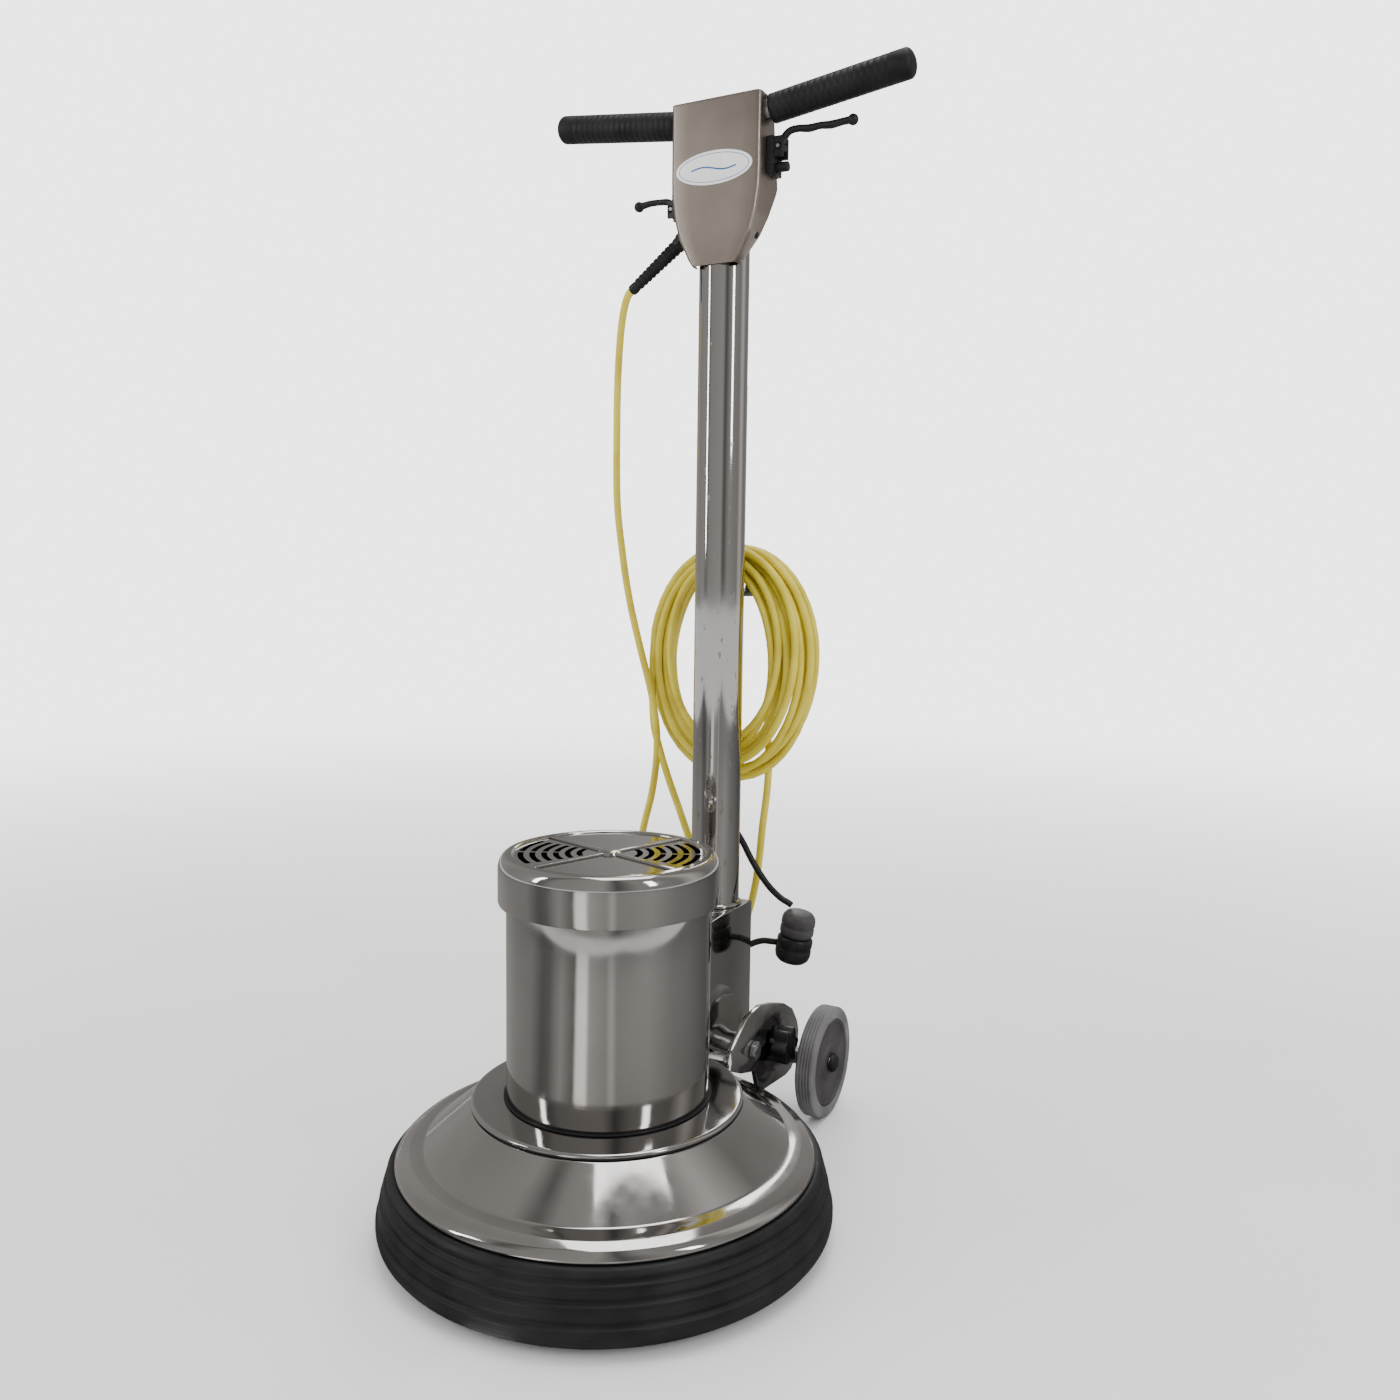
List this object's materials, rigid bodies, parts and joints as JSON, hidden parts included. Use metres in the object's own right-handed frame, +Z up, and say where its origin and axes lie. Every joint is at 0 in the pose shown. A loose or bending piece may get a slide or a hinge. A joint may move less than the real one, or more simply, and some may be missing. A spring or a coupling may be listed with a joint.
{
  "type": "rotary floor machine",
  "caption": "Upright single-disc floor machine with round chrome deck and bumper, vertical motor, tilting handle with levers, transport wheels and a coiled cord.",
  "frame": {"origin": "on the floor under the motor axis, at the centre of the pad's bottom face", "axes": "+Z up along the motor axis, +Y towards the handle and wheels, +X towards the right grip"},
  "size_m": [0.437, 0.596, 1.1377],
  "materials": {
    "chrome": "polished",
    "brushed_cover": "fine brushed, warm tone",
    "steel": "machined",
    "cast_aluminium": "as cast",
    "rubber_black": "matte",
    "black_plastic": "satin",
    "grey_plastic": "satin",
    "tread_grey": "matte",
    "cord_yellow": "satin PVC jacket",
    "badge_white": "printed label",
    "pad_fibre": "coarse nonwoven fibre"
  },
  "bodies": {
    "base": {"deck": "chrome", "bumper": "rubber_black", "deck_gasket": "rubber_black", "motor_flange": "chrome", "motor_gasket": "rubber_black", "motor_can": "chrome", "motor_cap": "chrome", "stator": "steel", "gear_case": "cast_aluminium", "ring_gear": "steel", "yoke_cheek_right": "chrome", "yoke_cheek_left": "chrome", "yoke_saddle": "steel", "pivot_pin": "steel", "brake_sector": "steel", "axle": "steel", "axle_cap_right": "black_plastic", "axle_cap_left": "black_plastic"},
    "brush": {"pad": "pad_fibre", "pad_driver": "black_plastic", "clutch_plate": "cast_aluminium", "output_carrier": "steel"},
    "rotor": {"rotor_shaft": "steel", "rotor_core": "cast_aluminium", "cooling_fan": "black_plastic", "sun_gear": "steel"},
    "planet_1": {"planet_gear_1": "steel"},
    "planet_2": {"planet_gear_2": "steel"},
    "planet_3": {"planet_gear_3": "steel"},
    "handle": {"socket_box": "chrome", "handle_tube": "chrome", "cord_hook": "black_plastic", "head_cover": "brushed_cover", "head_body": "black_plastic", "badge": "badge_white", "bar_core": "steel", "grip_right": "rubber_black", "grip_left": "rubber_black", "start_housing": "black_plastic", "start_pin": "steel", "release_bracket": "black_plastic", "release_pin": "steel", "cord_gland": "black_plastic", "cord_drop": "cord_yellow", "cord_coil": "cord_yellow", "cord_tail": "cord_yellow", "plug": "cord_yellow", "motor_lead_upper": "black_plastic", "connector_plug": "grey_plastic", "connector_socket": "black_plastic", "motor_lead_lower": "black_plastic"},
    "start_lever": {"start_lever": "black_plastic"},
    "interlock_button": {"interlock_button": "black_plastic"},
    "release_lever": {"release_lever": "black_plastic"},
    "release_rod": {"release_rod": "steel"},
    "wheel_right": {"tyre_right": "tread_grey", "hub_right": "grey_plastic"},
    "wheel_left": {"tyre_left": "tread_grey", "hub_left": "grey_plastic"},
    "clamp_knob": {"clamp_knob": "black_plastic"}
  },
  "joints": [
    {"name": "brush_spin", "type": "hinge", "parent": "base", "child": "brush", "pos_m": [0, 0, 0.05], "axis": [0, 0, 1], "continuous": true},
    {"name": "rotor_spin", "type": "hinge", "parent": "base", "child": "rotor", "pos_m": [0, 0, 0.2], "axis": [0, 0, 1], "continuous": true},
    {"name": "planet_1_spin", "type": "hinge", "parent": "brush", "child": "planet_1", "pos_m": [0.0384, 0, 0.098], "axis": [0, 0, 1], "continuous": true},
    {"name": "planet_2_spin", "type": "hinge", "parent": "brush", "child": "planet_2", "pos_m": [-0.0192, 0.03325, 0.098], "axis": [0, 0, 1], "continuous": true},
    {"name": "planet_3_spin", "type": "hinge", "parent": "brush", "child": "planet_3", "pos_m": [-0.0192, -0.03325, 0.098], "axis": [0, 0, 1], "continuous": true},
    {"name": "handle_tilt", "type": "hinge", "parent": "base", "child": "handle", "pos_m": [0, 0.205, 0.108], "axis": [-1, 0, 0], "range_deg": [0, 36]},
    {"name": "start_lever_pull", "type": "hinge", "parent": "handle", "child": "start_lever", "pos_m": [0.063, 0.224, 1.066], "axis": [0, -1, 0], "range_deg": [0, 8], "stiffness_Nm_per_rad": 2, "springref_deg": -11.46},
    {"name": "interlock_press", "type": "slide", "parent": "handle", "child": "interlock_button", "axis": [-1, 0, 0], "range_m": [0, 0.004], "stiffness_N_per_m": 300, "springref_m": -0.01},
    {"name": "release_rod_lift", "type": "slide", "parent": "handle", "child": "release_rod", "axis": [0, 0, 1], "range_m": [0, 0.006], "stiffness_N_per_m": 800, "springref_m": -0.01},
    {"name": "release_lever_pull", "type": "hinge", "parent": "handle", "child": "release_lever", "pos_m": [-0.062, 0.224, 1.019], "axis": [0, 1, 0], "range_deg": [0, 20]},
    {"name": "wheel_right_roll", "type": "hinge", "parent": "base", "child": "wheel_right", "pos_m": [0.1, 0.314, 0.065], "axis": [1, 0, 0], "continuous": true},
    {"name": "wheel_left_roll", "type": "hinge", "parent": "base", "child": "wheel_left", "pos_m": [-0.1, 0.314, 0.065], "axis": [1, 0, 0], "continuous": true},
    {"name": "clamp_knob_turn", "type": "hinge", "parent": "base", "child": "clamp_knob", "pos_m": [0.072, 0.262, 0.097], "axis": [1, 0, 0], "range_deg": [0, 330]}
  ],
  "couplings": [
    {"joint": "rotor_spin", "follows": "brush_spin", "ratio": 8},
    {"joint": "planet_1_spin", "follows": "brush_spin", "ratio": -2.3333},
    {"joint": "planet_2_spin", "follows": "brush_spin", "ratio": -2.3333},
    {"joint": "planet_3_spin", "follows": "brush_spin", "ratio": -2.3333},
    {"joint": "release_lever_pull", "follows": "release_rod_lift", "rad_per_m": 58}
  ]
}
